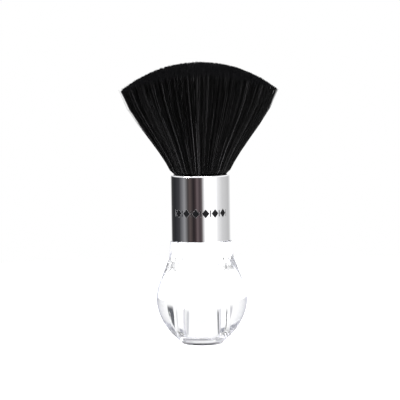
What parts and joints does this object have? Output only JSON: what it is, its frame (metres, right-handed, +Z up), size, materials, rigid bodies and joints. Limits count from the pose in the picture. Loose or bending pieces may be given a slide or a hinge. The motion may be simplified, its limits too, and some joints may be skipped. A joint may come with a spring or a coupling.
{
  "type": "neck duster brush",
  "caption": "Barber's neck duster: a wide, oval fan of soft black bristles in a polished chrome ferrule, on a short clear bulb-shaped handle that stands on its flat base.",
  "frame": {"origin": "centre of the flat base that the brush stands on", "axes": "+Z up through the handle, the ferrule and the middle of the bristles; the fan is widest along X and thinnest along Y"},
  "size_m": [0.0828, 0.056, 0.1495],
  "materials": {
    "clear_acrylic": "polished",
    "chrome": "polished",
    "adhesive": "gloss",
    "white_plastic": "satin",
    "resin": "gloss",
    "cord": "matte",
    "bristles": "satin"
  },
  "bodies": {
    "brush": {"handle": "clear_acrylic", "ferrule": "chrome", "adhesive_ring": "adhesive", "knot_cup": "white_plastic", "resin_plug": "resin", "binding_cord": "cord", "bristle_root": "bristles", "tuft_centre": "bristles"},
    "outer_1": {"tuft_outer_1": "bristles"},
    "outer_2": {"tuft_outer_2": "bristles"},
    "outer_3": {"tuft_outer_3": "bristles"},
    "outer_4": {"tuft_outer_4": "bristles"},
    "outer_5": {"tuft_outer_5": "bristles"},
    "outer_6": {"tuft_outer_6": "bristles"},
    "outer_7": {"tuft_outer_7": "bristles"},
    "outer_8": {"tuft_outer_8": "bristles"},
    "inner_1": {"tuft_inner_1": "bristles"},
    "inner_2": {"tuft_inner_2": "bristles"},
    "inner_3": {"tuft_inner_3": "bristles"},
    "inner_4": {"tuft_inner_4": "bristles"},
    "inner_5": {"tuft_inner_5": "bristles"},
    "inner_6": {"tuft_inner_6": "bristles"},
    "inner_7": {"tuft_inner_7": "bristles"},
    "inner_8": {"tuft_inner_8": "bristles"}
  },
  "joints": [
    {"name": "outer_1_splay", "type": "hinge", "parent": "brush", "child": "outer_1", "pos_m": [0.0139, 0, 0.0903], "axis": [0, 1, 0], "range_deg": [0, 25], "stiffness_Nm_per_rad": 0.02, "springref_deg": -5.73},
    {"name": "outer_2_splay", "type": "hinge", "parent": "brush", "child": "outer_2", "pos_m": [0.00983, 0.00983, 0.0903], "axis": [-0.7071, 0.7071, 0], "range_deg": [0, 25], "stiffness_Nm_per_rad": 0.02, "springref_deg": -5.73},
    {"name": "outer_3_splay", "type": "hinge", "parent": "brush", "child": "outer_3", "pos_m": [0, 0.0139, 0.0903], "axis": [-1, 0, 0], "range_deg": [0, 25], "stiffness_Nm_per_rad": 0.02, "springref_deg": -5.73},
    {"name": "outer_4_splay", "type": "hinge", "parent": "brush", "child": "outer_4", "pos_m": [-0.00983, 0.00983, 0.0903], "axis": [-0.7071, -0.7071, 0], "range_deg": [0, 25], "stiffness_Nm_per_rad": 0.02, "springref_deg": -5.73},
    {"name": "outer_5_splay", "type": "hinge", "parent": "brush", "child": "outer_5", "pos_m": [-0.0139, 0, 0.0903], "axis": [0, -1, 0], "range_deg": [0, 25], "stiffness_Nm_per_rad": 0.02, "springref_deg": -5.73},
    {"name": "outer_6_splay", "type": "hinge", "parent": "brush", "child": "outer_6", "pos_m": [-0.00983, -0.00983, 0.0903], "axis": [0.7071, -0.7071, 0], "range_deg": [0, 25], "stiffness_Nm_per_rad": 0.02, "springref_deg": -5.73},
    {"name": "outer_7_splay", "type": "hinge", "parent": "brush", "child": "outer_7", "pos_m": [0, -0.0139, 0.0903], "axis": [1, 0, 0], "range_deg": [0, 25], "stiffness_Nm_per_rad": 0.02, "springref_deg": -5.73},
    {"name": "outer_8_splay", "type": "hinge", "parent": "brush", "child": "outer_8", "pos_m": [0.00983, -0.00983, 0.0903], "axis": [0.7071, 0.7071, 0], "range_deg": [0, 25], "stiffness_Nm_per_rad": 0.02, "springref_deg": -5.73},
    {"name": "inner_1_splay", "type": "hinge", "parent": "brush", "child": "inner_1", "pos_m": [0.00933, 0, 0.0903], "axis": [0, 1, 0], "range_deg": [0, 10], "stiffness_Nm_per_rad": 0.02, "springref_deg": -5.73},
    {"name": "inner_2_splay", "type": "hinge", "parent": "brush", "child": "inner_2", "pos_m": [0.0066, 0.0066, 0.0903], "axis": [-0.7071, 0.7071, 0], "range_deg": [0, 10], "stiffness_Nm_per_rad": 0.02, "springref_deg": -5.73},
    {"name": "inner_3_splay", "type": "hinge", "parent": "brush", "child": "inner_3", "pos_m": [0, 0.00933, 0.0903], "axis": [-1, 0, 0], "range_deg": [0, 10], "stiffness_Nm_per_rad": 0.02, "springref_deg": -5.73},
    {"name": "inner_4_splay", "type": "hinge", "parent": "brush", "child": "inner_4", "pos_m": [-0.0066, 0.0066, 0.0903], "axis": [-0.7071, -0.7071, 0], "range_deg": [0, 10], "stiffness_Nm_per_rad": 0.02, "springref_deg": -5.73},
    {"name": "inner_5_splay", "type": "hinge", "parent": "brush", "child": "inner_5", "pos_m": [-0.00933, 0, 0.0903], "axis": [0, -1, 0], "range_deg": [0, 10], "stiffness_Nm_per_rad": 0.02, "springref_deg": -5.73},
    {"name": "inner_6_splay", "type": "hinge", "parent": "brush", "child": "inner_6", "pos_m": [-0.0066, -0.0066, 0.0903], "axis": [0.7071, -0.7071, 0], "range_deg": [0, 10], "stiffness_Nm_per_rad": 0.02, "springref_deg": -5.73},
    {"name": "inner_7_splay", "type": "hinge", "parent": "brush", "child": "inner_7", "pos_m": [0, -0.00933, 0.0903], "axis": [1, 0, 0], "range_deg": [0, 10], "stiffness_Nm_per_rad": 0.02, "springref_deg": -5.73},
    {"name": "inner_8_splay", "type": "hinge", "parent": "brush", "child": "inner_8", "pos_m": [0.0066, -0.0066, 0.0903], "axis": [0.7071, 0.7071, 0], "range_deg": [0, 10], "stiffness_Nm_per_rad": 0.02, "springref_deg": -5.73}
  ],
  "couplings": [
    {"joint": "inner_1_splay", "follows": "outer_1_splay", "ratio": 0.4},
    {"joint": "inner_2_splay", "follows": "outer_2_splay", "ratio": 0.4},
    {"joint": "inner_3_splay", "follows": "outer_3_splay", "ratio": 0.4},
    {"joint": "inner_4_splay", "follows": "outer_4_splay", "ratio": 0.4},
    {"joint": "inner_5_splay", "follows": "outer_5_splay", "ratio": 0.4},
    {"joint": "inner_6_splay", "follows": "outer_6_splay", "ratio": 0.4},
    {"joint": "inner_7_splay", "follows": "outer_7_splay", "ratio": 0.4},
    {"joint": "inner_8_splay", "follows": "outer_8_splay", "ratio": 0.4}
  ]
}
